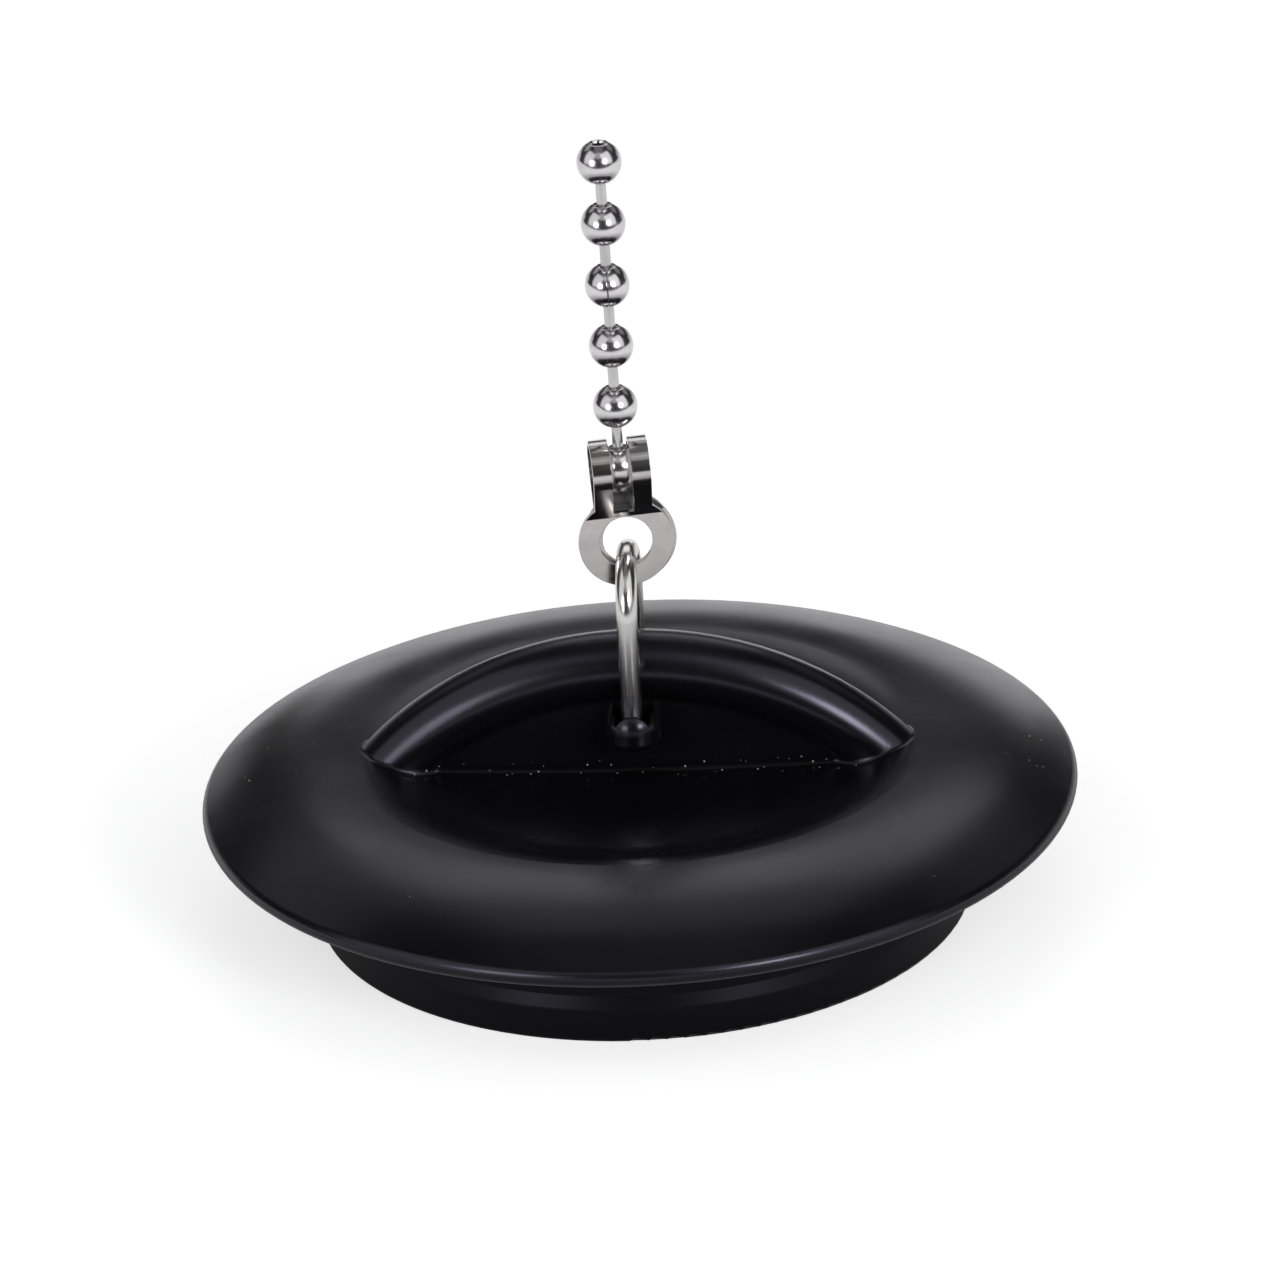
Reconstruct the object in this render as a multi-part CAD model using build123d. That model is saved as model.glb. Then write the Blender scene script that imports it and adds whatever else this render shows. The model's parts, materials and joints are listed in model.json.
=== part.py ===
from build123d import *
import os
from math import acos, asin, atan2, cos, degrees, hypot, radians, sin, sqrt

# Bath and basin drain stopper: a rubber plug with an arched handle web, a swinging
# wire bail, a folded sheet coupling hung on it, and a ball chain held by the coupling.
# Millimetres, +Z up. The origin is on the plug's axis, at the foot that it stands on.
# The handle web runs along X, and the bail swings about Y.

# Rubber plug and flange
plug_diameter = 45.0
flange_overhang = 7.5
lip_height = 2.4
lip_step = 0.3
lip_back_rise = 0.9
lip_edge_round = 0.35
seat_height = 6.9
seat_width = 4.7
seat_root_round = 0.6
rim_height = 8.36
rim_nose_radius = 0.7
crest_height = 11.7
crest_inset = 10.4
dish_depth = 1.7
dish_floor_rise = 0.3
dish_wall_run = 5.6

# Hollow under the plug
plug_wall = 3.3
dish_wall = 3.6
cavity_draft_run = 0.3
cavity_round = 1.2

# Arched handle web with a round bead along its top
web_thickness = 3.0
web_bead_radius = 2.4
web_top_height = 19.8
web_tip_inset = 0.7
web_root_depth = 2.9
web_bead_round = 0.6
web_foot_overlap = 1.5
web_foot_round = 0.3

# Bosses on both sides of the web, with the cross bore for the bail
pivot_height = 13.9
boss_width = 3.74
boss_below_pivot = 1.08
boss_dome_rise = 0.06
boss_dome_share = 0.95
boss_foot_round = 0.55
boss_slot_gap = 0.1
boss_lip_thickness = 0.47

# Wire bail
wire_diameter = 1.45
wire_running_gap = 0.05
bail_web_gap = 0.3
bail_above_web = 5.8
bail_swing_degrees = 20.0
bail_elbow_radius = 1.4
bail_end_gap = 0.7

# Folded sheet coupling
sheet_thickness = 0.36
leaf_gap = 0.06
eye_diameter = 6.45
eye_hole_diameter = 3.6
eye_hang_gap = 0.05
back_leaf_shift = 0.25
fold_above_hole = 0.1
strip_width = 3.9
loop_outer_radius = 1.97
loop_above_apex = 6.4
slot_width = 1.3
slot_above_fold = 0.35
slot_back_depth = 1.25
coupling_turn_degrees = 9.0
coupling_lean_degrees = 1.8

# Ball chain
bead_diameter = 3.0
bead_shell = 0.25
bead_pitch = 4.35
bead_hole_radius = 0.5
bead_hole_flare = 0.12
bead_seam_width = 0.08
bead_top_gap = 0.06
link_wire_diameter = 0.72
link_head_radius = 0.6
link_head_offset = 0.73
chain_lean_degrees = 0.6
chain_bead_count = 5
seam_turn_degrees = 137.5
seam_start_degrees = 210.0

# Cutting tools run this far past what they cut
overrun = 1.0
# two sizes closer than this are the same size
same_size = 0.001

# Places worked out from the sizes above
plug_radius = plug_diameter / 2
flange_radius = plug_radius + flange_overhang
neck_radius = plug_radius - lip_step
crest_radius = flange_radius - crest_inset
dish_floor_height = crest_height - dish_depth
dish_floor_radius = crest_radius - dish_wall_run
wire_radius = wire_diameter / 2
leg_offset = web_bead_radius + bail_web_gap + wire_radius
bail_apex_height = web_top_height + bail_above_web
# the elbow bends wholly inside the boss's slot
slot_inner = leg_offset - bail_elbow_radius
slot_outer = leg_offset + wire_radius + boss_slot_gap
bead_radius = bead_diameter / 2
eye_radius = eye_diameter / 2
eye_hole_radius = eye_hole_diameter / 2
eye_rise = eye_hole_radius - wire_radius - eye_hang_gap
fold_rise = eye_rise + eye_hole_radius + fold_above_hole
leaf_outer_face = leaf_gap / 2 + sheet_thickness
loop_inner_radius = loop_outer_radius - sheet_thickness
held_bead_rise = loop_above_apex + loop_inner_radius - bead_radius - bead_top_gap

# The coupling and the chain lean a little to the left and stand a little turned
coupling_place = Location((0, 0, bail_apex_height), (0, -coupling_lean_degrees, coupling_turn_degrees))
held_bead_centre = (coupling_place * Location((0, 0, held_bead_rise))).position
chain_place = Location(held_bead_centre, (0, -chain_lean_degrees, coupling_turn_degrees))


def plug_and_flange():
    """The round rubber body: plug lip, neck, seat, rim, shoulder and dished top."""
    nose_centre = flange_radius - rim_nose_radius
    seat_edge = neck_radius + seat_width
    # the underside runs straight from the flat seat to the rim's nose, touching it
    under_run = nose_centre - seat_edge
    under_rise = rim_height - seat_height
    under_angle = atan2(under_rise, under_run) - asin(rim_nose_radius / hypot(under_run, under_rise))
    nose_low = (
        nose_centre + rim_nose_radius * sin(under_angle),
        rim_height - rim_nose_radius * cos(under_angle),
    )
    # the shoulder is one arc, level at its crest, that touches the nose
    crest_rise = crest_height - rim_height
    shoulder_radius = ((nose_centre - crest_radius) ** 2 + crest_rise**2 - rim_nose_radius**2) / (
        2 * (crest_rise - rim_nose_radius)
    )
    shoulder_centre = (crest_radius, crest_height - shoulder_radius)
    touch_angle = atan2(rim_height - shoulder_centre[1], nose_centre - shoulder_centre[0])
    nose_high = (
        nose_centre + rim_nose_radius * cos(touch_angle),
        rim_height + rim_nose_radius * sin(touch_angle),
    )
    floor_edge = (dish_floor_radius, dish_floor_height + dish_floor_rise)
    floor_slope = 2 * dish_floor_rise / dish_floor_radius

    with BuildPart() as body:
        with BuildSketch(Plane.XZ):
            with BuildLine():
                Polyline(
                    (0, dish_floor_height),
                    (0, 0),
                    (plug_radius, 0),
                    (plug_radius, lip_height),
                    (neck_radius, lip_height + lip_back_rise),
                    (neck_radius, seat_height),
                    (seat_edge, seat_height),
                    nose_low,
                )
                ThreePointArc(nose_low, (flange_radius, rim_height), nose_high)
                mid_angle = (touch_angle + radians(90)) / 2
                ThreePointArc(
                    nose_high,
                    (
                        shoulder_centre[0] + shoulder_radius * cos(mid_angle),
                        shoulder_centre[1] + shoulder_radius * sin(mid_angle),
                    ),
                    (crest_radius, crest_height),
                )
                Spline(
                    (crest_radius, crest_height),
                    floor_edge,
                    tangents=((-dish_wall_run, 0), (-dish_wall_run, -dish_wall_run * floor_slope)),
                )
                TangentArc(
                    (0, dish_floor_height),
                    floor_edge,
                    tangent=(1, 0),
                )
            make_face()
        revolve(axis=Axis.Z)
        lip = body.edges().filter_by(GeomType.CIRCLE).filter_by(
            lambda e: abs(e.radius - plug_radius) < same_size
        )
        fillet(lip, lip_edge_round)
        root = body.edges().filter_by(GeomType.CIRCLE).filter_by(
            lambda e: abs(e.radius - neck_radius) < same_size
            and abs(e.center().Z - seat_height) < same_size
        )
        fillet(root, seat_root_round)
    return body.part


def cavity():
    """The moulded hollow under the plug, a little narrower at its ceiling."""
    ceiling = dish_floor_height - dish_wall
    mouth_radius = plug_radius - plug_wall
    ceiling_radius = mouth_radius - cavity_draft_run
    hollow = Cone(
        mouth_radius, ceiling_radius, ceiling, align=(Align.CENTER, Align.CENTER, Align.MIN)
    )
    rim = hollow.edges().filter_by(GeomType.CIRCLE).sort_by(Axis.Z)[-1]
    return fillet(rim, cavity_round)


def handle_web():
    """The arched web: a flat plate whose top edge carries a round bead."""
    tip_reach = crest_radius - web_tip_inset
    arch_rise = web_top_height - crest_height
    top_radius = (tip_reach**2 + arch_rise**2) / (2 * arch_rise)
    arch_radius = top_radius - web_bead_radius
    arch_centre = web_top_height - top_radius
    end_height = crest_height - web_root_depth
    end_angle = degrees(acos((end_height - arch_centre) / arch_radius))

    start = (-arch_radius * sin(radians(end_angle)), 0, end_height)
    start_direction = (cos(radians(end_angle)), 0, sin(radians(end_angle)))
    with BuildPart() as web:
        with BuildSketch(Plane(origin=start, z_dir=start_direction)):
            Circle(web_bead_radius)
        revolve(axis=Axis((0, 0, arch_centre), (0, 1, 0)), revolution_arc=2 * end_angle)
        with BuildSketch(Plane.XZ):
            with BuildLine():
                arch = CenterArc((0, arch_centre), arch_radius, 90 - end_angle, 2 * end_angle)
                foot_height = dish_floor_height - web_foot_overlap
                Polyline(
                    arch @ 1,
                    ((arch @ 1).X, foot_height),
                    ((arch @ 0).X, foot_height),
                    arch @ 0,
                )
            make_face()
        extrude(amount=web_thickness / 2, both=True)
        crease = web.edges().filter_by(GeomType.CIRCLE).filter_by(
            lambda e: web_bead_radius < e.radius < arch_radius
        )
        fillet(crease, web_bead_round)
    return web.part


def bosses():
    """The two bosses, as one domed bar through the web, slotted for the bail's legs."""
    foot_height = pivot_height - boss_below_pivot
    top_height = pivot_height + boss_dome_rise + boss_width / 2
    with BuildPart() as bar:
        with BuildSketch(Plane.XY.offset(foot_height)):
            SlotOverall(2 * (slot_outer + boss_lip_thickness), boss_width, rotation=90)
        extrude(amount=top_height - foot_height)
        fillet(bar.faces().sort_by(Axis.Z)[-1].edges(), boss_dome_share * boss_width / 2)
        fillet(bar.faces().sort_by(Axis.Z)[0].edges(), boss_foot_round)

    # each slot opens upward by the angle that the bail swings
    room = wire_radius + boss_slot_gap
    swing = radians(bail_swing_degrees)
    wall_length = top_height - foot_height + overrun
    wall_foot = (room * cos(swing), -room * sin(swing))
    wall_top = (wall_foot[0] + wall_length * sin(swing), wall_foot[1] + wall_length * cos(swing))
    with BuildSketch(Plane.XZ) as fan:
        with BuildLine():
            Polyline(
                wall_foot,
                wall_top,
                (-wall_top[0], wall_top[1]),
                (-wall_foot[0], wall_foot[1]),
                close=True,
            )
        make_face()
        Circle(room)
    slot = extrude(fan.sketch, (slot_outer - slot_inner) / 2, both=True)
    middle = (slot_inner + slot_outer) / 2
    return bar.part - Pos(0, -middle, pivot_height) * slot - Pos(0, middle, pivot_height) * slot


def stopper_body():
    """The one rubber moulding: plug, flange, handle web and bosses, bored for the bail."""
    bore = Pos(0, 0, pivot_height) * Rot(90, 0, 0) * Cylinder(
        wire_radius + wire_running_gap, 2 * slot_inner + overrun
    )
    plug, web = plug_and_flange(), handle_web()
    body = plug + web
    body = fillet(new_edges(plug, web, combined=body), web_foot_round)
    return body + bosses() - cavity() - bore


def bail():
    """The bent wire bail: a round-topped U whose ends turn in to the cross bore."""
    end_y = bail_end_gap / 2
    elbow_y = leg_offset - bail_elbow_radius
    leg_foot = pivot_height + bail_elbow_radius
    leg_top = bail_apex_height - leg_offset
    slant = bail_elbow_radius * (1 - cos(radians(45)))
    with BuildPart() as wire:
        with BuildLine(Plane.YZ) as path:
            Line((-end_y, pivot_height), (-elbow_y, pivot_height))
            ThreePointArc(
                (-elbow_y, pivot_height),
                (-leg_offset + slant, pivot_height + slant),
                (-leg_offset, leg_foot),
            )
            Line((-leg_offset, leg_foot), (-leg_offset, leg_top))
            ThreePointArc((-leg_offset, leg_top), (0, bail_apex_height), (leg_offset, leg_top))
            Line((leg_offset, leg_top), (leg_offset, leg_foot))
            ThreePointArc(
                (leg_offset, leg_foot),
                (leg_offset - slant, pivot_height + slant),
                (elbow_y, pivot_height),
            )
            Line((elbow_y, pivot_height), (end_y, pivot_height))
        with BuildSketch(Plane(origin=path.line @ 0, z_dir=path.line % 0)):
            Circle(wire_radius)
        sweep(path=path.line)
    return wire.part


def loop_outline(radius, half_foot, foot_height):
    """A teardrop seen from the side: a circle with straight flanks down to a narrow foot."""
    rise = loop_above_apex - foot_height
    reach = hypot(rise, half_foot)
    # angle, at the circle's centre, between straight down and the touching point
    touch = acos(radius / reach) - atan2(half_foot, rise)
    touch_y = radius * sin(touch + 2 * atan2(half_foot, rise))
    touch_z = loop_above_apex - radius * cos(touch + 2 * atan2(half_foot, rise))
    with BuildSketch(Plane.YZ) as outline:
        with BuildLine():
            Polyline((-touch_y, touch_z), (-half_foot, foot_height), (half_foot, foot_height), (touch_y, touch_z))
            ThreePointArc((touch_y, touch_z), (0, loop_above_apex + radius), (-touch_y, touch_z))
        make_face()
    return outline.sketch


def chain_coupling():
    """The coupling, one stamped strip folded double: eye leaves below, a slotted loop above."""
    loop = extrude(loop_outline(loop_outer_radius, leaf_outer_face, fold_rise), eye_radius, both=True)
    hollow = extrude(loop_outline(loop_inner_radius, leaf_gap / 2, fold_rise), eye_diameter, both=True)
    front_shape = Pos(0, 0, eye_rise) * Rot(90, 0, 0) * Cylinder(eye_radius, 2 * eye_diameter)
    front_shape += Box(
        strip_width,
        2 * eye_diameter,
        loop_above_apex + loop_outer_radius + overrun,
        align=(Align.CENTER, Align.CENTER, Align.MIN),
    )
    folded = (loop - hollow) & front_shape

    # two eye leaves, back to back, the rear one folded slightly off centre
    for side, shift in ((-1, 0), (1, back_leaf_shift)):
        leaf_y = side * (leaf_gap + sheet_thickness) / 2
        disc = Rot(90, 0, 0) * (
            Cylinder(eye_radius, sheet_thickness) - Cylinder(eye_hole_radius, 2 * sheet_thickness)
        )
        above = Pos(0, 0, fold_rise - eye_rise) * Box(
            2 * eye_diameter, sheet_thickness * 2, eye_diameter, align=(Align.CENTER, Align.CENTER, Align.MIN)
        )
        folded += Pos(shift, leaf_y, eye_rise) * (disc - above)

    # the slot runs up the front, over the top and part of the way down the back
    slot_foot = fold_rise + slot_above_fold
    slot_depth = loop_outer_radius + overrun
    slot_top = loop_above_apex + loop_outer_radius + overrun
    front_slot = Pos(0, -slot_depth / 2, (slot_foot + slot_top) / 2) * Box(
        slot_width, slot_depth, slot_top - slot_foot
    )
    back_foot = loop_above_apex + loop_outer_radius - slot_back_depth
    back_slot = Pos(0, slot_depth / 2, (back_foot + slot_top) / 2) * Box(
        slot_width, slot_depth, slot_top - back_foot
    )
    return folded - front_slot - back_slot


def chain_bead(turn):
    """One hollow bead: a thin shell with a flared hole at each pole and a rolled seam."""
    shell = Sphere(bead_radius) - Sphere(bead_radius - bead_shell)
    shell -= Cylinder(bead_hole_radius, 2 * bead_radius)
    flare_foot = sqrt((bead_radius - bead_shell) ** 2 - bead_hole_radius**2)
    flare = Cone(
        bead_hole_radius,
        bead_hole_radius + bead_hole_flare,
        bead_radius - flare_foot,
        align=(Align.CENTER, Align.CENTER, Align.MIN),
    )
    shell -= Pos(0, 0, flare_foot) * flare
    shell -= Rot(180, 0, 0) * Pos(0, 0, flare_foot) * flare
    seam = Box(
        bead_radius,
        bead_seam_width,
        2 * bead_radius,
        align=(Align.MIN, Align.CENTER, Align.CENTER),
    )
    return Rot(0, 0, turn) * (shell - seam)


def chain_link():
    """One dumb-bell link: a short wire with a round head inside each of two beads."""
    length = bead_pitch - 2 * link_head_offset
    link = Cylinder(link_wire_diameter / 2, length)
    for side in (-1, 1):
        link += Pos(0, 0, side * length / 2) * Sphere(link_head_radius)
    return link


def chain():
    """The held bead, then a link and a bead for each step up the chain."""
    pieces = {"held_bead": chain_place * chain_bead(seam_start_degrees)}
    for step in range(1, chain_bead_count + 1):
        link_middle = (step - 1) * bead_pitch + bead_pitch / 2
        pieces[f"chain_link_{step}"] = chain_place * Pos(0, 0, link_middle) * chain_link()
        turn = seam_start_degrees + step * seam_turn_degrees
        pieces[f"chain_bead_{step}"] = chain_place * Pos(0, 0, step * bead_pitch) * chain_bead(turn)
    return pieces


def build():
    """Every separate piece of the stopper, by name."""
    pieces = {
        "stopper_body": stopper_body(),
        "wire_bail": bail(),
        "chain_coupling": coupling_place * chain_coupling(),
    }
    pieces.update(chain())
    return pieces


if __name__ == "__main__":
    os.makedirs("parts", exist_ok=True)
    for name, piece in build().items():
        export_step(piece, f"parts/{name}.step")
        print(f"{name}: {len(piece.solids())} solid, {piece.volume:.3f} mm3")
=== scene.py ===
"""Drain stopper: a rubber plug with a handle web, a wire bail, a coupling and a ball chain."""

import json
import math

import bpy
from mathutils import Matrix, Vector


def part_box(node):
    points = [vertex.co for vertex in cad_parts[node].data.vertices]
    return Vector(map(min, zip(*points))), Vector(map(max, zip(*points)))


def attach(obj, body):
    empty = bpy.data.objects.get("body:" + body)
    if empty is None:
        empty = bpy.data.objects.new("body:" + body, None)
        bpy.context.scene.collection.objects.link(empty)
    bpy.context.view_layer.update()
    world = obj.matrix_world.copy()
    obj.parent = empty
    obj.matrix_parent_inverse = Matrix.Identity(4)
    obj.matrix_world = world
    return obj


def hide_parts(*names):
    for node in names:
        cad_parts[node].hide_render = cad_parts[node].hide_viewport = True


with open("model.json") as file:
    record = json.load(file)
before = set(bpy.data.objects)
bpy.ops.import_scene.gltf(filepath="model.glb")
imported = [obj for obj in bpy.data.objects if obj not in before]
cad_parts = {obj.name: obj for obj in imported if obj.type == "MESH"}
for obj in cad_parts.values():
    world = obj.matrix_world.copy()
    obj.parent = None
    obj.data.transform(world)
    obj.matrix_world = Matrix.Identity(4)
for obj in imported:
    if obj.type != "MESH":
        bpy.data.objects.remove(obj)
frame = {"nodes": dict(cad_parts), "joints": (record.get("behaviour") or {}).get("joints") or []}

bl_info = {
    "name": "Drain Stopper",
    "version": (1, 0, 0),
    "blender": (4, 5, 0),
    "location": "3D View > Sidebar > Drain Stopper",
    "description": "Models and finishes a rubber drain stopper with a wire bail and a ball chain",
    "category": "Object",
}

MM = 0.001
UP = Vector((0, 0, 1))
JOINTS = {joint["name"]: joint for joint in frame["joints"]}


def joint_place(name):
    """Where a joint's axis passes, in metres."""
    return Vector(JOINTS[name]["pos_m"])


PIVOT = joint_place("bail_swing")
APEX = joint_place("coupling_swing")
HELD_BEAD = joint_place("held_bead_swing")
BEAD_PITCH = (joint_place("link_2_tilt") - joint_place("link_1_tilt")).length
CHAIN_BEADS = sum(1 for name in frame["nodes"] if name.startswith("chain_bead_"))


def standing_place(origin, up, side):
    """The matrix of a piece whose own Z is up and whose own X is side."""
    back = up.cross(side)
    return Matrix.Translation(origin) @ Matrix((side, back, up)).transposed().to_4x4()


COUPLING_PLACE = standing_place(
    APEX, (HELD_BEAD - APEX).normalized(), Vector(JOINTS["held_bead_swing"]["axis"])
)
CHAIN_PLACE = standing_place(
    HELD_BEAD,
    (joint_place(f"bead_{CHAIN_BEADS}_tilt") - joint_place("link_1_tilt")).normalized(),
    Vector(JOINTS["bead_1_tilt"]["axis"]),
)


def length(name, default, description):
    """A length property in metres."""
    return bpy.props.FloatProperty(
        name=name, description=description, default=default, min=0, precision=5, unit="LENGTH"
    )


def angle(name, default, description):
    """An angle property, given in degrees."""
    return bpy.props.FloatProperty(
        name=name, description=description, default=math.radians(default), unit="ROTATION"
    )


def share(name, default, description):
    """A plain number from 0 to 1."""
    return bpy.props.FloatProperty(
        name=name, description=description, default=default, min=0, max=1, subtype="FACTOR"
    )


def colour(name, default, description):
    """A colour property in linear light."""
    return bpy.props.FloatVectorProperty(
        name=name, description=description, default=default, size=3, min=0, max=1, subtype="COLOR"
    )


class StopperSizes(bpy.types.PropertyGroup):
    """Sizes of the pieces that are modelled here."""

    wire_diameter: length("Bail wire", 1.45 * MM, "Diameter of the bail's wire")
    wire_sides: bpy.props.IntProperty(
        name="Wire sides", description="Sides round the bail's wire", default=32, min=12
    )
    elbow_radius: length("Bail elbow", 1.4 * MM, "Bend radius where a leg turns in to the bore")
    bail_end_gap: length("Bail end gap", 0.7 * MM, "Gap between the wire's two ends in the bore")

    sheet_thickness: length("Sheet", 0.36 * MM, "Thickness of the coupling's sheet")
    leaf_gap: length("Leaf gap", 0.06 * MM, "Gap between the two eye leaves")
    eye_diameter: length("Eye", 6.45 * MM, "Outer diameter of the eye leaves")
    eye_hole: length("Eye hole", 3.6 * MM, "Diameter of the hole in the eye leaves")
    eye_rise: length("Eye rise", 1.025 * MM, "Height of the eye's centre above the wire's centre")
    leaf_shift: length("Rear leaf shift", 0.25 * MM, "How far the rear leaf sits off centre")
    fold_above_hole: length("Fold", 0.1 * MM, "Height of the fold above the hole's top")
    strip_width: length("Strip", 3.9 * MM, "Width of the strip round the loop")
    loop_radius: length("Loop", 1.97 * MM, "Outer radius of the loop")
    loop_rise: length("Loop rise", 6.4 * MM, "Height of the loop's centre above the wire's centre")
    slot_width: length("Slot", 1.36 * MM, "Width of the slot that the chain runs in")
    slot_above_fold: length("Slot foot", 0.35 * MM, "Height of the slot's foot above the fold")
    slot_back_depth: length("Rear slot", 1.25 * MM, "Depth of the slot down the back")
    sheet_edge: length("Sheet edge", 0.05 * MM, "Rounding of the stamped edges")

    bead_diameter: length("Bead", 3.0 * MM, "Outer diameter of a bead")
    bead_wall: length("Bead wall", 0.25 * MM, "Thickness of a bead's shell")
    bead_hole: length("Bead hole", 1.24 * MM, "Diameter of the hole at each pole, at the surface")
    seam_width: length("Bead seam", 0.08 * MM, "Width of the seam down a bead's side")
    seam_start: angle("Seam start", 210, "Direction of the held bead's seam")
    seam_turn: angle("Seam turn", 137.5, "Turn of the seam from one bead to the next")
    link_wire: length("Link wire", 0.72 * MM, "Diameter of a link's wire")
    link_head: length("Link head", 1.2 * MM, "Diameter of a link's round heads")
    head_offset: length("Head offset", 0.73 * MM, "Distance from a bead's centre to a link's head")


class StopperFinish(bpy.types.PropertyGroup):
    """Colours and finishes."""

    rubber: colour("Rubber", (0.0026, 0.0027, 0.0034), "Black moulded rubber")
    rubber_shine: colour("Rubber shine", (0.82, 0.79, 1.0), "Tint of what the rubber reflects")
    rubber_roughness: share("Rubber roughness", 0.25, "Roughness of the moulded rubber")
    dust: colour("Dust", (0.50, 0.48, 0.45), "Dust and lint caught on the rubber")
    wire: colour("Wire", (0.68, 0.66, 0.65), "Drawn stainless wire")
    sheet: colour("Sheet", (0.55, 0.525, 0.52), "Plated sheet of the coupling")
    bead: colour("Bead", (0.70, 0.675, 0.70), "Bright plated beads")
    link: colour("Link", (0.58, 0.56, 0.58), "Plated wire of the links")
    floor: colour("Floor", (0.86, 0.86, 0.87), "Pale floor")


class StopperView(bpy.types.PropertyGroup):
    """The camera, as fitted to the photograph."""

    azimuth: angle("Azimuth", 4.0, "Turn of the camera towards +X")
    elevation: angle("Elevation", 23.9, "Height of the camera above the horizon")
    roll: angle("Roll", 3.12, "Roll that lifts the object's right side")
    distance: length("Distance", 500 * MM, "Distance from the camera to the plug's axis")
    aim_height: length("Aim height", 8.36 * MM, "Height of the flange's widest plane")
    aim_right: bpy.props.FloatProperty(
        name="Aim right",
        description="Aim to the right of the axis, below zero to its left",
        default=-0.48 * MM,
        unit="LENGTH",
    )
    aim_up: length("Aim up", 10.39 * MM, "Aim above the flange's widest plane")
    lens: bpy.props.FloatProperty(
        name="Lens", description="Focal length in millimetres", default=207.5, min=1
    )


def deselect():
    """Leaves edit mode with nothing selected."""
    if bpy.context.mode != "OBJECT":
        bpy.ops.object.mode_set(mode="OBJECT")
    bpy.ops.object.select_all(action="DESELECT")


def begin(name):
    """Names the new primitive and enters edit mode with all of it selected."""
    piece = bpy.context.object
    piece.name = name
    piece.data.name = name
    bpy.ops.object.mode_set(mode="EDIT")
    bpy.ops.mesh.select_all(action="SELECT")
    return piece


def pick(piece, mode, wanted):
    """Selects, in edit mode, the vertices, edges or faces whose centre is wanted."""
    bpy.ops.mesh.select_mode(type=mode)
    bpy.ops.mesh.select_all(action="DESELECT")
    bpy.ops.object.mode_set(mode="OBJECT")
    mesh = piece.data
    parts = {"VERT": mesh.vertices, "EDGE": mesh.edges, "FACE": mesh.polygons}[mode]
    for part in parts:
        if mode == "VERT":
            part.select = bool(wanted(part.co))
        else:
            corners = [mesh.vertices[i].co for i in part.vertices]
            part.select = all(wanted(corner) for corner in corners)
    bpy.ops.object.mode_set(mode="EDIT")


def extrude(offset):
    """Extrudes the selection by offset."""
    bpy.ops.mesh.extrude_region_move(TRANSFORM_OT_translate={"value": tuple(offset)})


def finish_with(piece, kind, **settings):
    """Adds a modifier to the piece and applies it."""
    modifier = piece.modifiers.new(kind.title(), kind)
    for key, value in settings.items():
        setattr(modifier, key, value)
    bpy.context.view_layer.objects.active = piece
    piece.select_set(True)
    bpy.ops.object.modifier_apply(modifier=modifier.name)


def cut_with(piece, cutter, operation):
    """Cuts the piece with a closed cutter, which is then thrown away."""
    deselect()
    finish_with(piece, "BOOLEAN", object=cutter, operation=operation, solver="EXACT")
    bpy.data.objects.remove(cutter, do_unlink=True)


def smooth(piece, limit=35):
    """Smooth shading up to a limit, with real corners kept."""
    deselect()
    bpy.context.view_layer.objects.active = piece
    piece.select_set(True)
    bpy.ops.object.shade_smooth_by_angle(angle=math.radians(limit))


def settle(piece, place, material, body, node):
    """Puts the shape in its place, rides it on its body, and lets it stand for its CAD node."""
    piece.data.transform(piece.matrix_world)
    piece.data.transform(place)
    piece.matrix_world = Matrix.Identity(4)
    piece.data.materials.clear()
    piece.data.materials.append(material)
    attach(piece, body)
    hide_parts(node)


def copy_of(piece, name):
    """A copy with its own mesh."""
    twin = piece.copy()
    twin.data = piece.data.copy()
    twin.name = name
    twin.data.name = name
    bpy.context.scene.collection.objects.link(twin)
    return twin


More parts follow.
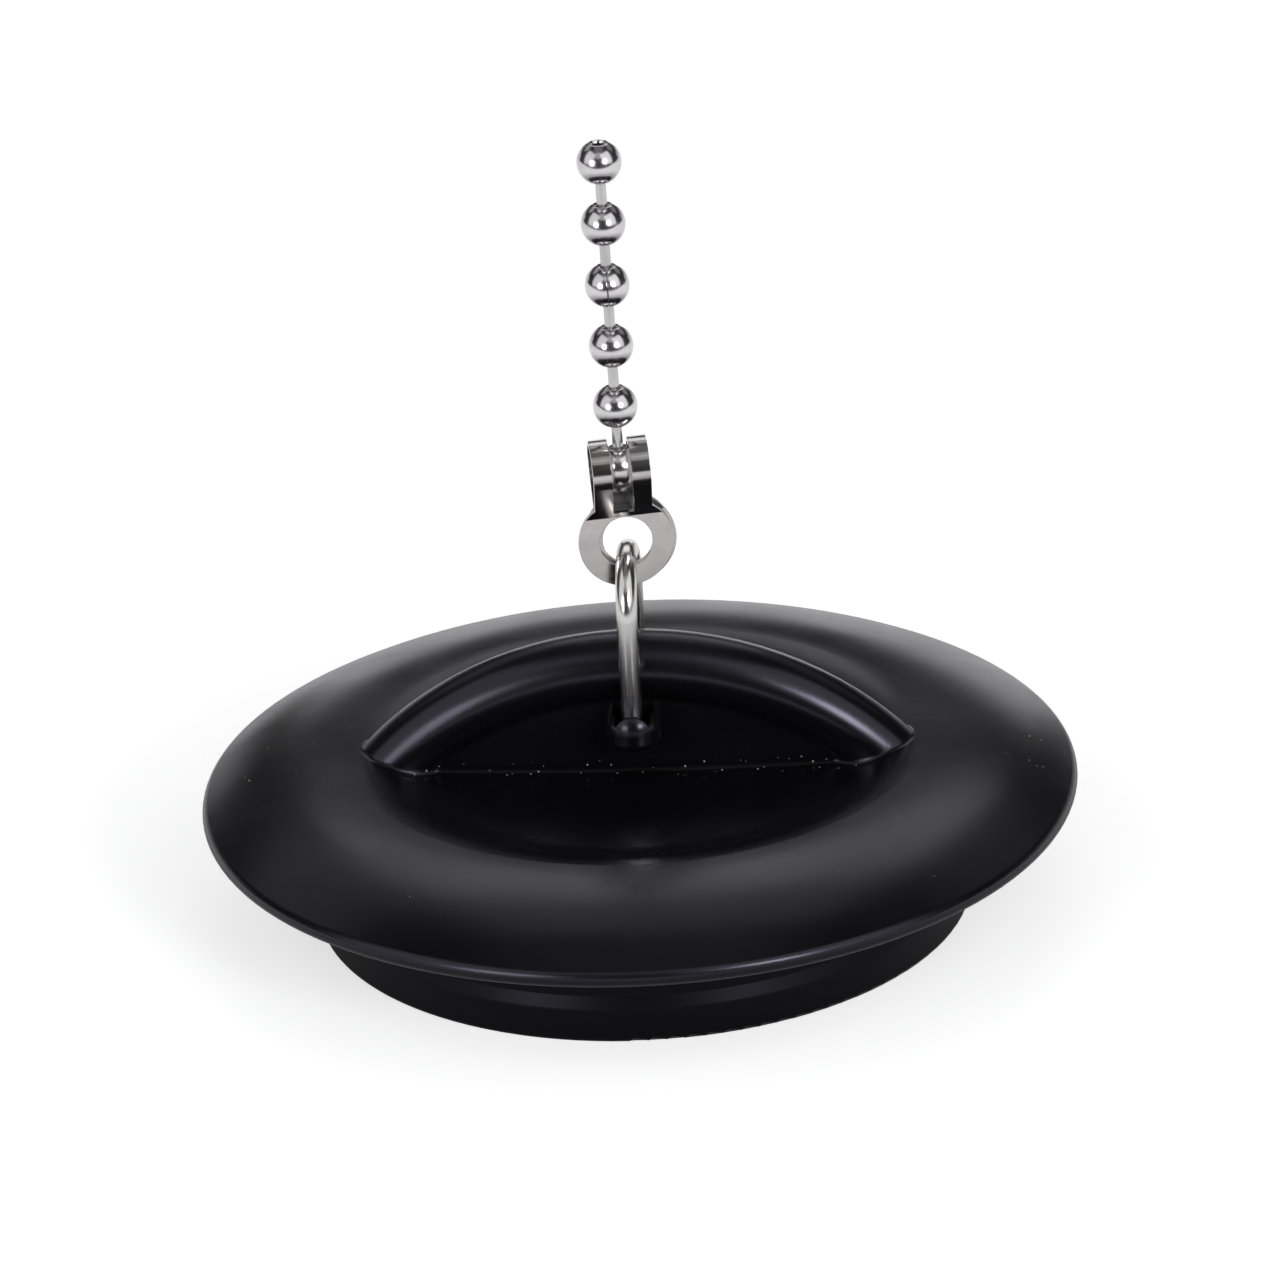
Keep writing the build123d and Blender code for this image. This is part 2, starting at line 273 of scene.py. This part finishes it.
class Nodes:
    """A short way to write a material's nodes."""

    def __init__(self, name):
        self.material = bpy.data.materials.new(name)
        self.material.use_nodes = True
        self.tree = self.material.node_tree
        self.shader = next(n for n in self.tree.nodes if n.type == "BSDF_PRINCIPLED")
        self.output = next(n for n in self.tree.nodes if n.type == "OUTPUT_MATERIAL")
        self.object = self.add("ShaderNodeTexCoord").outputs["Object"]

    def feed(self, socket, value):
        """Links a socket to another one, or sets its value."""
        if isinstance(value, bpy.types.NodeSocket):
            self.tree.links.new(value, socket)
        else:
            socket.default_value = value

    def add(self, kind, inputs=None, **settings):
        """A new node with its settings and inputs."""
        node = self.tree.nodes.new(kind)
        for key, value in settings.items():
            setattr(node, key, value)
        for key, value in (inputs or {}).items():
            self.feed(node.inputs[key], value)
        return node

    def stretch(self, scale, turn=(0, 0, 0)):
        """Object coordinates, turned and scaled along each axis."""
        inputs = {"Vector": self.object, "Scale": scale, "Rotation": turn}
        return self.add("ShaderNodeMapping", inputs).outputs["Vector"]

    def noise(self, scale, detail, vector=None, roughness=0.5, distortion=0.0):
        """Smooth noise from 0 to 1, with scale bumps to the metre."""
        inputs = {
            "Vector": vector or self.object,
            "Scale": scale,
            "Detail": detail,
            "Roughness": roughness,
            "Distortion": distortion,
        }
        return self.add("ShaderNodeTexNoise", inputs).outputs["Fac"]

    def specks(self, spacing, radius_share, left_out):
        """Round specks, one to a cell at most: 1 inside, 0 outside, with a share left out."""
        inputs = {"Vector": self.object, "Scale": 1 / spacing}
        cells = self.add("ShaderNodeTexVoronoi", inputs)
        spot = self.remap(cells.outputs["Distance"], radius_share, 0.7 * radius_share, 0, 1)
        chance = self.add("ShaderNodeSeparateColor", {0: cells.outputs["Color"]}).outputs[0]
        return self.math("MULTIPLY", spot, self.math("GREATER_THAN", chance, left_out))

    def remap(self, value, from_low, from_high, to_low, to_high):
        """A value moved from one range to another, and held inside it."""
        inputs = {
            "Value": value,
            "From Min": from_low,
            "From Max": from_high,
            "To Min": to_low,
            "To Max": to_high,
        }
        return self.add("ShaderNodeMapRange", inputs).outputs["Result"]

    def math(self, operation, first, second=0.0):
        """One sum on one or two values."""
        return self.add("ShaderNodeMath", {0: first, 1: second}, operation=operation).outputs[0]

    def near(self, value, centre, full_within, gone_beyond):
        """1 close to a centre on either side, fading to 0 away from it."""
        away = self.math("ABSOLUTE", self.math("SUBTRACT", value, centre))
        return self.remap(away, full_within, gone_beyond, 1, 0)

    def mix(self, factor, first, second):
        """One colour at 0, the other at 1."""
        node = self.add("ShaderNodeMix", data_type="RGBA")
        for key, value in {"Factor": factor, "A": first, "B": second}.items():
            self.feed(next(s for s in node.inputs if s.name == key and s.enabled), value)
        return next(s for s in node.outputs if s.name == "Result" and s.enabled)

    def bump(self, height, distance, strength, normal=None):
        """A normal that is tilted by a height, on top of another normal."""
        inputs = {"Height": height, "Distance": distance, "Strength": strength}
        if normal is not None:
            inputs["Normal"] = normal
        return self.add("ShaderNodeBump", inputs).outputs["Normal"]

    def wire(self, **sockets):
        """Feeds the shader's sockets and gives the finished material."""
        for key, value in sockets.items():
            self.feed(self.shader.inputs[key.replace("_", " ")], value)
        return self.material


def full(rgb, factor=1.0):
    """A colour with its alpha, made darker or lighter by a factor."""
    return (*(min(1.0, factor * c) for c in rgb), 1.0)


def black_rubber(finish):
    """Satin moulded rubber: a fine grain, soft patches, faint wipe marks, specks of dust, and
    painted shade in its reflections below the flange and at the web's foot.
    """
    n = Nodes("black_rubber")
    place = n.add("ShaderNodeSeparateXYZ", {0: n.object}).outputs
    y, z = place["Y"], place["Z"]
    patches = n.noise(110, 4)
    swells = n.noise(240, 2)
    grain = n.noise(5200, 2)
    smears = n.noise(420, 3, n.stretch((0.35, 1, 1), (0, 0, 0.5)), distortion=0.15)

    # dust gathers in the corner at the web's foot, and lies thinly elsewhere
    foot_y, foot_z = 1.9 * MM, 10.4 * MM
    corner = n.math(
        "MULTIPLY",
        n.near(n.math("ABSOLUTE", y), foot_y, 0.3 * MM, 0.6 * MM),
        n.near(z, foot_z, 0.3 * MM, 0.55 * MM),
    )
    corner_dust = n.math("MULTIPLY", n.specks(0.42 * MM, 0.2, 0.62), corner)
    stray_dust = n.math("MULTIPLY", n.specks(2.3 * MM, 0.035, 0.86), 0.3)
    dust = n.math("MAXIMUM", corner_dust, stray_dust)

    # painted shade: the reflections are darkened on the plug's side, below the flange, and in the
    # corner at the web's foot; the plug's side is also rougher
    painted_shade = n.math("MAXIMUM", n.remap(z, 7.6 * MM, 8.6 * MM, 1, 0), n.math("MULTIPLY", corner, 0.9))
    tint_with_painted_shade = n.mix(painted_shade, full(finish.rubber_shine), full(finish.rubber_shine, 0.3))
    side_roughness = n.remap(z, 7.4 * MM, 8.3 * MM, 0.38, 0)

    low, high = finish.rubber_roughness - 0.03, finish.rubber_roughness + 0.05
    satin = n.math(
        "ADD", n.remap(patches, 0.3, 0.7, low, high), n.remap(smears, 0.35, 0.75, -0.006, 0.01)
    )
    roughness = n.math(
        "MAXIMUM", n.math("MAXIMUM", satin, side_roughness), n.math("MULTIPLY", dust, 0.9)
    )
    black = n.mix(patches, full(finish.rubber, 0.7), full(finish.rubber, 1.35))
    relief = n.bump(swells, 0.05 * MM, 0.16)
    relief = n.bump(grain, 0.006 * MM, 0.5, relief)
    relief = n.bump(dust, 0.03 * MM, 1.0, relief)
    return n.wire(
        Base_Color=n.mix(dust, black, full(finish.dust)),
        Roughness=roughness,
        Normal=relief,
        Specular_IOR_Level=0.5,
        Specular_Tint=tint_with_painted_shade,
    )


def bright_metal(name, rgb, roughness, stretch, line_scale, relief):
    """Plated or drawn metal: fine lines along the piece, soft handling marks, and few dark pits."""
    n = Nodes(name)
    lines = n.noise(line_scale, 4, n.stretch(stretch), 0.6)
    marks = n.noise(700, 4, distortion=0.4)
    pits = n.specks(0.5 * MM, 0.07, 0.75)
    tint = n.mix(n.remap(marks, 0.35, 0.7, 0, 1), full(rgb, 0.92), full(rgb, 1.06))
    lined = n.remap(lines, 0.3, 0.7, 0.8 * roughness, 1.2 * roughness)
    drawn = n.bump(lines, relief, 0.6)
    return n.wire(
        Base_Color=n.mix(n.math("MULTIPLY", pits, 0.6), tint, full(rgb, 0.35)),
        Metallic=1.0,
        Roughness=n.math("ADD", lined, n.math("MULTIPLY", pits, 0.2)),
        Normal=n.bump(pits, -2 * relief, 0.8, drawn),
    )


def sizes():
    """The scene's sizes."""
    return bpy.context.scene.stopper_sizes


def finish():
    """The scene's colours."""
    return bpy.context.scene.stopper_finish


class STOPPER_OT_rubber(bpy.types.Operator):
    """Finish the one-piece rubber plug, flange, handle web and bosses"""

    bl_idname = "stopper.rubber"
    bl_label = "Rubber Body"

    def execute(self, context):
        body = frame["nodes"]["stopper_body"]
        body.data.materials.clear()
        body.data.materials.append(black_rubber(finish()))
        return {"FINISHED"}


class STOPPER_OT_bail(bpy.types.Operator):
    """Bend the wire bail: one wire, in at the bore, up, over and down again"""

    bl_idname = "stopper.bail"
    bl_label = "Wire Bail"

    def execute(self, context):
        s = sizes()
        radius = s.wire_diameter / 2
        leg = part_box("wire_bail")[1].y - radius
        elbow = s.elbow_radius
        end = s.bail_end_gap / 2
        leg_foot = PIVOT.z + elbow
        leg_top = APEX.z - leg
        quarter = math.radians(90)
        elbow_steps, leg_steps, bend_steps = 8, 4, 32

        deselect()
        bpy.ops.mesh.primitive_circle_add(
            vertices=s.wire_sides,
            radius=radius,
            fill_type="NGON",
            location=(0, -end, PIVOT.z),
            rotation=(quarter, 0, 0),
        )
        piece = begin("bail_wire")
        extrude((0, end + elbow - leg, 0))
        bpy.ops.mesh.spin(
            steps=elbow_steps, angle=quarter, center=(0, elbow - leg, leg_foot), axis=(1, 0, 0)
        )
        for step in range(leg_steps):
            extrude((0, 0, (leg_top - leg_foot) / leg_steps))
        bpy.ops.mesh.spin(
            steps=bend_steps, angle=2 * quarter, center=(0, 0, leg_top), axis=(1, 0, 0)
        )
        for step in range(leg_steps):
            extrude((0, 0, (leg_foot - leg_top) / leg_steps))
        bpy.ops.mesh.spin(
            steps=elbow_steps, angle=quarter, center=(0, leg - elbow, leg_foot), axis=(1, 0, 0)
        )
        extrude((0, end + elbow - leg, 0))
        bpy.ops.mesh.select_all(action="SELECT")
        bpy.ops.mesh.normals_make_consistent(inside=False)
        deselect()
        smooth(piece)
        along_legs = (1, 1, 0.03)
        wire = bright_metal("drawn_wire", finish().wire, 0.2, along_legs, 3500, 0.00012 * MM)
        settle(piece, Matrix.Identity(4), wire, "wire_bail", "wire_bail")
        return {"FINISHED"}


def cutter_block(low, high):
    """A closed box between two corners."""
    deselect()
    low, high = Vector(low), Vector(high)
    bpy.ops.mesh.primitive_cube_add(size=1, location=(low + high) / 2, scale=high - low)
    return bpy.context.object


def cutter_disc(radius, x, z, low_y, high_y):
    """A closed round cutter whose axis is Y."""
    deselect()
    bpy.ops.mesh.primitive_cylinder_add(
        vertices=128,
        radius=radius,
        depth=high_y - low_y,
        location=(x, (low_y + high_y) / 2, z),
        rotation=(math.radians(90), 0, 0),
    )
    return bpy.context.object


class STOPPER_OT_coupling(bpy.types.Operator):
    """Fold the chain coupling: two eye leaves, spreading necks and a slotted loop"""

    bl_idname = "stopper.coupling"
    bl_label = "Chain Coupling"

    def execute(self, context):
        s = sizes()
        eye = s.eye_diameter / 2
        middle = (s.leaf_gap + s.sheet_thickness) / 2
        radius = s.loop_radius - s.sheet_thickness / 2
        fold = s.eye_rise + s.eye_hole / 2 + s.fold_above_hole
        eye_foot = s.eye_rise - eye
        rise = s.loop_rise - fold
        touch = math.acos(radius / math.hypot(rise, middle)) + math.atan2(middle, rise)
        touch_y = radius * math.sin(touch)
        touch_z = s.loop_rise - radius * math.cos(touch)
        around = 2 * (math.pi - touch)
        loop_steps = 44
        # clear of the whole piece
        far = 2 * s.eye_diameter

        # the strip's middle surface: up the front leaf, round the loop, and down the rear leaf
        leaf_middle = (0, -middle, (eye_foot + fold) / 2)
        deselect()
        bpy.ops.mesh.primitive_plane_add(size=1, location=leaf_middle)
        bpy.ops.transform.rotate(
            value=math.radians(90), orient_axis="X", center_override=leaf_middle
        )
        bpy.ops.object.transform_apply(location=True, rotation=True, scale=True)
        piece = begin("folded_coupling")
        bpy.ops.transform.resize(
            value=(2 * eye + s.slot_width, 1, fold - eye_foot), center_override=leaf_middle
        )
        pick(piece, "EDGE", lambda co: co.z > leaf_middle[2])
        extrude((0, middle - touch_y, touch_z - fold))
        bpy.ops.mesh.spin(
            steps=loop_steps, angle=around, center=(0, 0, s.loop_rise), axis=(1, 0, 0)
        )
        extrude((0, middle - touch_y, fold - touch_z))
        extrude((0, 0, eye_foot - fold))
        deselect()
        finish_with(piece, "SOLIDIFY", thickness=s.sheet_thickness, offset=0, use_even_offset=True)

        # outline: the strip above the fold, and a round eye on each leaf
        strip = cutter_block((-s.strip_width / 2, -far, fold), (s.strip_width / 2, far, far))
        front = cutter_disc(eye, 0, s.eye_rise, -far, 0)
        rear = cutter_disc(eye, s.leaf_shift, s.eye_rise, 0, far)
        for round_cutter in (front, rear):
            deselect()
            finish_with(strip, "BOOLEAN", object=round_cutter, operation="UNION", solver="EXACT")
            bpy.data.objects.remove(round_cutter, do_unlink=True)
        cut_with(piece, strip, "INTERSECT")
        hole = s.eye_hole / 2
        cut_with(piece, cutter_disc(hole, 0, s.eye_rise, -far, 0), "DIFFERENCE")
        cut_with(piece, cutter_disc(hole, s.leaf_shift, s.eye_rise, 0, far), "DIFFERENCE")
        slot = s.slot_width / 2
        front_foot = fold + s.slot_above_fold
        back_foot = s.loop_rise + s.loop_radius - s.slot_back_depth
        front_slot = cutter_block((-slot, -far, front_foot), (slot, 0, far))
        cut_with(piece, front_slot, "DIFFERENCE")
        back_slot = cutter_block((-slot, -s.leaf_gap, back_foot), (slot, far, far))
        cut_with(piece, back_slot, "DIFFERENCE")
        deselect()
        finish_with(
            piece,
            "BEVEL",
            width=s.sheet_edge,
            segments=3,
            limit_method="ANGLE",
            angle_limit=math.radians(40),
        )
        smooth(piece, 12)
        finish_with(piece, "WEIGHTED_NORMAL", keep_sharp=True)
        across = (0.06, 1, 1)
        sheet = bright_metal("plated_sheet", finish().sheet, 0.15, across, 2600, 0.0005 * MM)
        settle(piece, COUPLING_PLACE, sheet, "chain_coupling", "chain_coupling")
        return {"FINISHED"}


class STOPPER_OT_beads(bpy.types.Operator):
    """Roll the hollow beads: a shell with a flared hole at each pole and a seam down its side"""

    bl_idname = "stopper.beads"
    bl_label = "Chain Beads"

    def execute(self, context):
        s = sizes()
        radius = s.bead_diameter / 2
        mouth = s.bead_hole / 2
        outline_sides, turn_steps = 88, 72
        deselect()
        bpy.ops.mesh.primitive_circle_add(
            vertices=outline_sides,
            radius=radius,
            fill_type="NOTHING",
            rotation=(math.radians(90), 0, 0),
        )
        bpy.ops.object.transform_apply(location=True, rotation=True, scale=True)
        piece = begin("bead_pattern")
        pick(piece, "VERT", lambda co: co.x < mouth)
        bpy.ops.mesh.delete(type="VERT")
        seam_angle = s.seam_width / radius
        bpy.ops.mesh.select_all(action="SELECT")
        bpy.ops.mesh.spin(
            steps=turn_steps, angle=2 * math.pi - seam_angle, center=(0, 0, 0), axis=(0, 0, 1)
        )
        bpy.ops.mesh.select_all(action="SELECT")
        bpy.ops.mesh.normals_make_consistent(inside=False)
        bpy.ops.transform.rotate(
            value=-seam_angle / 2, orient_axis="Z", center_override=(0, 0, 0)
        )
        deselect()
        finish_with(piece, "SOLIDIFY", thickness=s.bead_wall, offset=-1, use_even_offset=True)
        finish_with(
            piece,
            "BEVEL",
            width=s.seam_width / 4,
            segments=2,
            limit_method="ANGLE",
            angle_limit=math.radians(50),
        )
        smooth(piece, 40)
        steel = bright_metal("bead_steel", finish().bead, 0.19, (1, 1, 1), 1800, 0.0006 * MM)
        for step in range(CHAIN_BEADS + 1):
            turn = Matrix.Rotation(s.seam_start + step * s.seam_turn, 4, "Z")
            lift = Matrix.Translation((0, 0, step * BEAD_PITCH))
            bead = copy_of(piece, f"bead_{step}" if step else "bead_held")
            node = f"chain_bead_{step}" if step else "held_bead"
            settle(bead, CHAIN_PLACE @ lift @ turn, steel, node, node)
        bpy.data.objects.remove(piece, do_unlink=True)
        return {"FINISHED"}


class STOPPER_OT_links(bpy.types.Operator):
    """Turn the dumb-bell links: a short wire with a round head at each end"""

    bl_idname = "stopper.links"
    bl_label = "Chain Links"

    def execute(self, context):
        s = sizes()
        head = s.link_head / 2
        neck = s.link_wire / 2
        half = BEAD_PITCH / 2 - s.head_offset
        sides, head_steps = 28, 9
        # a head is swept from its small flat end to where it meets the wire
        flat = math.radians(8)
        meets = math.pi - math.asin(neck / head)
        # heights and radii of the rings, from the lower head's foot to the upper head's top
        lower = []
        for i in range(head_steps + 1):
            sweep = flat + (meets - flat) * i / head_steps
            lower.append((-half - head * math.cos(sweep), head * math.sin(sweep)))
        rings = lower + [(-z, r) for z, r in reversed(lower)]
        deselect()
        bpy.ops.mesh.primitive_circle_add(
            vertices=sides, radius=rings[0][1], fill_type="NGON", location=(0, 0, rings[0][0])
        )
        piece = begin("link_pattern")
        for (z, r), (next_z, next_r) in zip(rings, rings[1:]):
            extrude((0, 0, next_z - z))
            grow = next_r / r
            bpy.ops.transform.resize(value=(grow, grow, 1), center_override=(0, 0, next_z))
        bpy.ops.mesh.select_all(action="SELECT")
        bpy.ops.mesh.normals_make_consistent(inside=False)
        deselect()
        smooth(piece, 40)
        along_chain = (1, 1, 0.04)
        steel = bright_metal("link_steel", finish().link, 0.24, along_chain, 4200, 0.002 * MM)
        for step in range(1, CHAIN_BEADS + 1):
            lift = Matrix.Translation((0, 0, (step - 0.5) * BEAD_PITCH))
            link = copy_of(piece, f"link_{step}")
            node = f"chain_link_{step}"
            settle(link, CHAIN_PLACE @ lift, steel, node, node)
        bpy.data.objects.remove(piece, do_unlink=True)
        return {"FINISHED"}


# name, azimuth and elevation in degrees, distance, width and height in metres, and the light
# that the lamp's face shows
LAMPS = (
    ("softbox_left", -57, 33, 1.62, 1.45, 1.75, 0.8),
    ("strip_left", -33, 13, 1.58, 0.55, 0.62, 5.0),
    ("softbox_right", 53, 33, 1.62, 1.45, 1.75, 0.95),
    ("strip_right", 35, 22, 1.58, 0.42, 0.42, 13.0),
    ("front_panel", 2, 54, 1.6, 0.8, 0.9, 0.4),
    ("overhead", 0, 88, 1.6, 0.9, 0.9, 0.15),
    ("rear_panel", 180, 42, 1.6, 1.0, 0.56, 1.2),
    ("rear_top", 180, 62, 1.6, 0.9, 0.5, 0.5),
    ("rear_left", 225, 42, 1.6, 0.98, 0.56, 0.35),
    ("rear_right", 135, 42, 1.6, 0.98, 0.56, 0.2),
    ("low_rear", 180, 6, 1.6, 0.85, 0.38, 1.2),
    ("low_left", 222, 6, 1.6, 1.2, 0.38, 0.6),
    ("low_right", 141, 6, 1.6, 1.1, 0.38, 0.5),
)


def softbox(name, azimuth, elevation, distance, width, height, radiance):
    """A square lamp that looks at the object, given by the light that its face shows."""
    a, e = math.radians(azimuth), math.radians(elevation)
    toward = Vector((math.sin(a) * math.cos(e), -math.cos(a) * math.cos(e), math.sin(e)))
    lamp = bpy.data.lights.new(name, "AREA")
    lamp.shape = "RECTANGLE"
    lamp.size = width
    lamp.size_y = height
    lamp.energy = radiance * math.pi * width * height
    holder = bpy.data.objects.new(name, lamp)
    bpy.context.scene.collection.objects.link(holder)
    holder.location = toward * distance
    holder.rotation_euler = (-toward).to_track_quat("-Z", "Y").to_euler()
    holder.visible_camera = False


class STOPPER_OT_stage(bpy.types.Operator):
    """Set the pale floor, the soft lamps, the white surround and the camera"""

    bl_idname = "stopper.stage"
    bl_label = "Stage"

    def execute(self, context):
        self.lay_floor()
        self.hang_lamps()
        self.set_world(context.scene)
        self.set_camera(context.scene)
        context.scene.view_settings.view_transform = "Standard"
        return {"FINISHED"}

    def lay_floor(self):
        """A pale floor that ends a little way in front, where the metal shows a darker room."""
        deselect()
        width, front = 1600 * MM, 200 * MM
        bpy.ops.mesh.primitive_plane_add(size=width, location=(0, width / 2 - front, 0))
        bpy.ops.object.transform_apply(location=True, rotation=True, scale=True)
        floor = bpy.context.object
        floor.name = "pale_floor"
        n = Nodes("pale_floor")
        n.wire(Base_Color=full(finish().floor), Roughness=0.9, Specular_IOR_Level=0.0)
        path = n.add("ShaderNodeLightPath").outputs

        # the camera sees it white, and so do reflections, though only away from the plug
        camera_lift, mirror_lift = 0.62, 0.45
        reach = n.add("ShaderNodeVectorMath", {0: n.object}, operation="LENGTH").outputs["Value"]
        away = n.remap(reach, 42 * MM, 75 * MM, 0, mirror_lift)
        strength = n.math("MAXIMUM", n.math("MULTIPLY", path["Is Camera Ray"], camera_lift), away)
        glow = n.add("ShaderNodeEmission", {"Color": (1, 1, 1, 1), "Strength": strength})
        lit = n.shader.outputs[0]
        lifted = n.add("ShaderNodeAddShader", {0: lit, 1: glow.outputs[0]}).outputs[0]
        seen = n.math("MAXIMUM", path["Is Camera Ray"], path["Is Glossy Ray"])
        switch = n.add("ShaderNodeMixShader", {0: seen, 1: lit, 2: lifted})
        n.tree.links.new(switch.outputs[0], n.output.inputs["Surface"])
        floor.data.materials.append(n.material)

    def hang_lamps(self):
        """The soft lamps round the object."""
        for lamp in LAMPS:
            softbox(*lamp)

    def set_world(self, scene):
        """White where the camera looks past the floor, and almost dark to everything else."""
        world = bpy.data.worlds.new("white_surround")
        scene.world = world
        world.use_nodes = True
        tree = world.node_tree
        room = tree.nodes["Background"]
        white = tree.nodes.new("ShaderNodeBackground")
        for background, strength in ((room, 0.03), (white, 1.0)):
            background.inputs["Color"].default_value = (1, 1, 1, 1)
            background.inputs["Strength"].default_value = strength
        path = tree.nodes.new("ShaderNodeLightPath")
        switch = tree.nodes.new("ShaderNodeMixShader")
        tree.links.new(path.outputs["Is Camera Ray"], switch.inputs[0])
        tree.links.new(room.outputs[0], switch.inputs[1])
        tree.links.new(white.outputs[0], switch.inputs[2])
        tree.links.new(switch.outputs[0], tree.nodes["World Output"].inputs["Surface"])

    def set_camera(self, scene):
        """The camera at the photograph's angle."""
        v = scene.stopper_view
        back = Vector(
            (
                math.sin(v.azimuth) * math.cos(v.elevation),
                -math.cos(v.azimuth) * math.cos(v.elevation),
                math.sin(v.elevation),
            )
        )
        level_right = Vector((math.cos(v.azimuth), math.sin(v.azimuth), 0))
        level_up = back.cross(level_right)
        right = level_right * math.cos(v.roll) - level_up * math.sin(v.roll)
        up = level_right * math.sin(v.roll) + level_up * math.cos(v.roll)
        camera = bpy.data.objects.new("camera", bpy.data.cameras.new("camera"))
        scene.collection.objects.link(camera)
        camera.data.lens = v.lens
        place = UP * v.aim_height + back * v.distance + right * v.aim_right + up * v.aim_up
        turn = Matrix((right, up, back)).transposed().to_4x4()
        camera.matrix_world = Matrix.Translation(place) @ turn
        scene.camera = camera


class STOPPER_PT_panel(bpy.types.Panel):
    """The stopper's pieces, sizes and colours in the sidebar"""

    bl_label = "Drain Stopper"
    bl_space_type = "VIEW_3D"
    bl_region_type = "UI"
    bl_category = "Drain Stopper"

    def draw(self, context):
        for operator in OPERATORS:
            self.layout.operator(operator.bl_idname)
        scene = context.scene
        for group in (scene.stopper_sizes, scene.stopper_finish, scene.stopper_view):
            box = self.layout.box()
            for name in type(group).__annotations__:
                box.prop(group, name)


OPERATORS = (
    STOPPER_OT_rubber,
    STOPPER_OT_bail,
    STOPPER_OT_coupling,
    STOPPER_OT_beads,
    STOPPER_OT_links,
    STOPPER_OT_stage,
)
CLASSES = (StopperSizes, StopperFinish, StopperView, *OPERATORS, STOPPER_PT_panel)


def register():
    """Adds the classes and their settings to the scene."""
    for cls in CLASSES:
        bpy.utils.register_class(cls)
    bpy.types.Scene.stopper_sizes = bpy.props.PointerProperty(type=StopperSizes)
    bpy.types.Scene.stopper_finish = bpy.props.PointerProperty(type=StopperFinish)
    bpy.types.Scene.stopper_view = bpy.props.PointerProperty(type=StopperView)


def unregister():
    """Takes the classes and their settings away again."""
    del bpy.types.Scene.stopper_view
    del bpy.types.Scene.stopper_finish
    del bpy.types.Scene.stopper_sizes
    for cls in reversed(CLASSES):
        bpy.utils.unregister_class(cls)


def main():
    """Builds and stages the stopper."""
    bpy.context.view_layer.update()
    register()
    bpy.ops.stopper.rubber()
    bpy.ops.stopper.bail()
    bpy.ops.stopper.coupling()
    bpy.ops.stopper.beads()
    bpy.ops.stopper.links()
    bpy.ops.stopper.stage()


if __name__ == "__main__":
    main()
